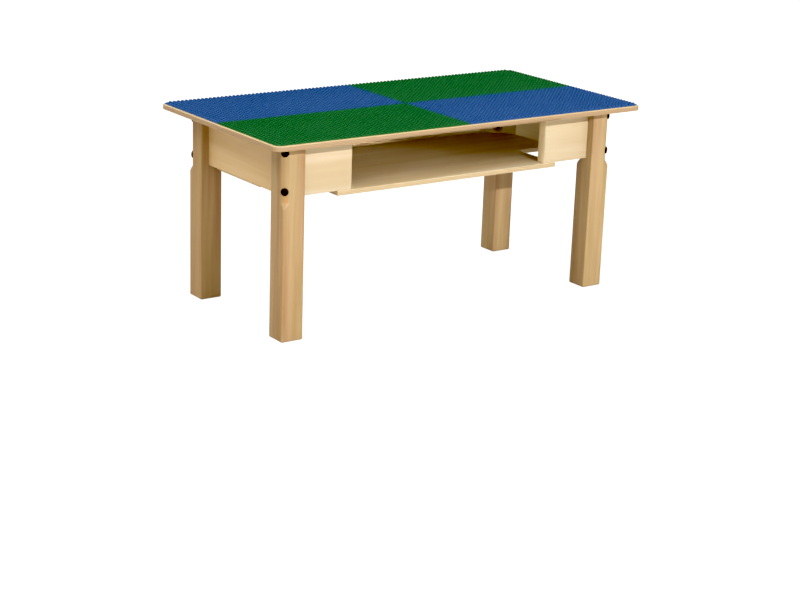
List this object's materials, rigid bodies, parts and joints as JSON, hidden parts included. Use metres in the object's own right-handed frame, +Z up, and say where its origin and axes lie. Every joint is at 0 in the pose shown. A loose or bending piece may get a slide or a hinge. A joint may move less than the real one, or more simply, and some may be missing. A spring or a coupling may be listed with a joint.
{
  "type": "low play table with storage shelf",
  "caption": "Low wooden play table topped with studded building plates, with an open storage shelf under the front and square bolt-on legs.",
  "frame": {"origin": "on the floor, at the middle of the table's footprint", "axes": "+Z up, +X along the long side, the storage opening faces -Y"},
  "size_m": [0.776, 0.392, 0.3482],
  "materials": {
    "panel_wood": "clear-lacquered birch plywood with eased edges",
    "leg_wood": "clear-lacquered solid hardwood, grain upright",
    "apron_wood": "clear-lacquered pale board, grain along its length",
    "block_wood": "sawn hardwood, unfinished",
    "blue_plastic": "moulded blue plastic, satin",
    "green_plastic": "moulded green plastic, satin",
    "black_steel": "black oxide",
    "zinc_steel": "bright zinc plate"
  },
  "bodies": {
    "root": {"tabletop": "panel_wood", "stud_plate_back_left": "blue_plastic", "stud_plate_back_right": "green_plastic", "stud_plate_front_left": "green_plastic", "stud_plate_front_right": "blue_plastic", "leg_front_left": "leg_wood", "leg_front_right": "leg_wood", "leg_back_left": "leg_wood", "leg_back_right": "leg_wood", "side_apron_left": "apron_wood", "side_apron_right": "apron_wood", "back_apron": "apron_wood", "front_apron_left": "apron_wood", "front_apron_right": "apron_wood", "storage_shelf": "panel_wood", "corner_block_front_left": "block_wood", "corner_block_front_right": "block_wood", "corner_block_back_left": "block_wood", "corner_block_back_right": "block_wood", "leg_bolts": "black_steel", "flanged_nuts": "black_steel", "block_screws": "zinc_steel", "top_screws": "zinc_steel", "shelf_screws": "zinc_steel"}
  },
  "joints": []
}
